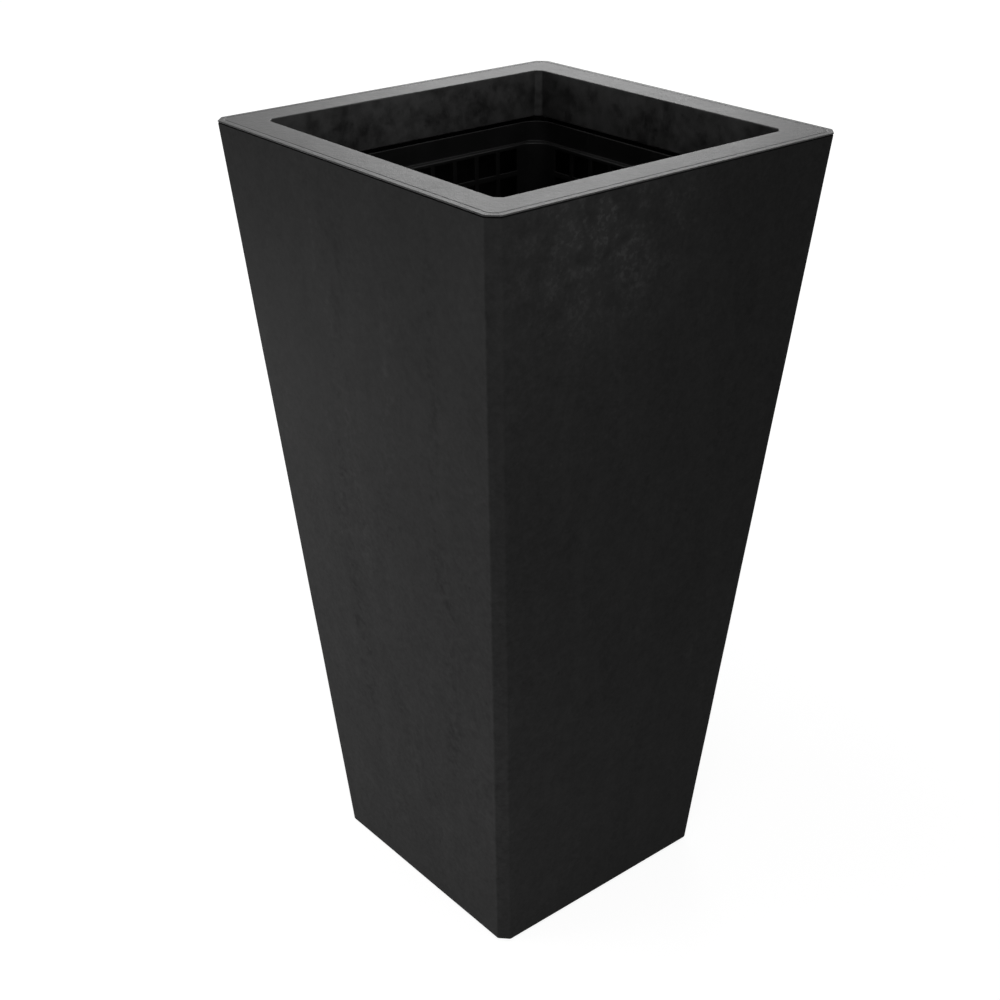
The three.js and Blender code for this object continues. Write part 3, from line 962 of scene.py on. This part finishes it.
def floor_glow(tree):
    """The floor's own light, which lifts it to white away from the object."""
    place = tree.nodes.new("ShaderNodeTexCoord")
    away = tree.nodes.new("ShaderNodeVectorMath")
    away.operation = "LENGTH"
    tree.links.new(place.outputs["Object"], away.inputs[0])
    strength = tree.nodes.new("ShaderNodeMapRange")
    strength.interpolation_type = "SMOOTHSTEP"
    tree.links.new(away.outputs["Value"], strength.inputs["Value"])
    strength.inputs["From Min"].default_value = FLOOR_DIM_REACH
    strength.inputs["From Max"].default_value = FLOOR_WHITE_FROM
    strength.inputs["To Min"].default_value = FLOOR_OWN_LIGHT
    strength.inputs["To Max"].default_value = 1.0
    own = tree.nodes.new("ShaderNodeEmission")
    tree.links.new(strength.outputs["Result"], own.inputs["Strength"])
    return own.outputs[0]


def floor_finish():
    """Pale floor that shows white in the open and keeps a soft shadow."""
    finish = bpy.data.materials.new("pale_floor")
    finish.use_nodes = True
    tree = finish.node_tree
    tree.nodes.clear()
    both = tree.nodes.new("ShaderNodeAddShader")
    tree.links.new(diffuse(tree, FLOOR_SHOWN_REFLECTANCE), both.inputs[0])
    tree.links.new(floor_glow(tree), both.inputs[1])
    mix = tree.nodes.new("ShaderNodeMixShader")
    tree.links.new(seen_directly(tree), mix.inputs[0])
    tree.links.new(diffuse(tree, FLOOR_REFLECTANCE), mix.inputs[1])
    tree.links.new(both.outputs[0], mix.inputs[2])
    output = tree.nodes.new("ShaderNodeOutputMaterial")
    tree.links.new(mix.outputs[0], output.inputs["Surface"])
    return finish


def make_floor():
    """A round floor under the object, as stage."""
    bm = bmesh.new()
    radii = (FLOOR_RADIUS, FLOOR_MIDDLE_RADIUS)
    rings = [add_ring(bm, round_ring(radius, FLOOR_LEVEL)) for radius in radii]
    join_rings(bm, *rings)
    bm.faces.new(rings[-1])
    mesh = bpy.data.meshes.new("floor")
    bm.to_mesh(mesh)
    bm.free()
    mesh.materials.append(floor_finish())
    floor = bpy.data.objects.new("floor", mesh)
    bpy.context.scene.collection.objects.link(floor)


def fill_air():
    """A world that is seen as white and lights the object more faintly."""
    world = bpy.data.worlds.new("studio_air")
    world.use_nodes = True
    tree = world.node_tree
    background = tree.nodes["Background"]
    background.inputs["Color"].default_value = (1, 1, 1, 1)
    strength = tree.nodes.new("ShaderNodeMapRange")
    tree.links.new(seen_directly(tree), strength.inputs["Value"])
    strength.inputs["To Min"].default_value = ROOM_LIGHT
    strength.inputs["To Max"].default_value = 1.0
    tree.links.new(strength.outputs[0], background.inputs["Strength"])
    bpy.context.scene.world = world


def softbox(name, at, towards, width, height, brightness):
    """A soft lamp. brightness is what a white card right in front of it would show, 1 being white."""
    lamp = bpy.data.lights.new(name, "AREA")
    lamp.shape = "RECTANGLE"
    lamp.size, lamp.size_y = width, height
    lamp.energy = brightness * math.pi * width * height
    box = bpy.data.objects.new(name, lamp)
    box.location = at
    box.rotation_euler = (Vector(towards) - Vector(at)).to_track_quat("-Z", "Y").to_euler()
    box.visible_camera = False
    bpy.context.scene.collection.objects.link(box)


# The camera fitted to the photo: metres, degrees and millimetres of lens.
CAMERA_AT = (1.0775, -0.9237, 1.1375)
CAMERA_TURN = 50.2026
CAMERA_DIP = 27.0735
CAMERA_ROLL = -0.1300
CAMERA_LENS = 57.10


def make_camera():
    camera = bpy.data.objects.new("camera", bpy.data.cameras.new("camera"))
    camera.data.lens = CAMERA_LENS
    turn = Matrix.Rotation(math.radians(CAMERA_TURN), 4, "Z")
    dip = Matrix.Rotation(math.radians(90 - CAMERA_DIP), 4, "X")
    roll = Matrix.Rotation(math.radians(CAMERA_ROLL), 4, "Z")
    camera.matrix_world = Matrix.Translation(CAMERA_AT) @ turn @ dip @ roll
    bpy.context.scene.collection.objects.link(camera)
    bpy.context.scene.camera = camera


make_floor()
fill_air()
softbox("overhead", at=(0.7, 0.3, 2.5), towards=(0, 0, 0.5),
        width=2.0, height=2.0, brightness=1.05)
softbox("low_left", at=(-0.60, -0.80, 0.20), towards=(0, -0.1, 0.12),
        width=1.1, height=0.36, brightness=7.5)
softbox("low_front", at=(0.52, -0.52, 0.11), towards=(0.13, -0.13, 0.06),
        width=0.3, height=0.2, brightness=7.3)
softbox("right_strip", at=(0.48, -0.32, 0.74), towards=(0.2, -0.1, 0.7),
        width=0.12, height=0.26, brightness=5.0)
softbox("behind", at=(-3.18, 2.90, 2.5), towards=(0, 0, 0.75),
        width=1.5, height=1.3, brightness=3.9)
make_camera()

bpy.context.scene.view_settings.view_transform = "Standard"
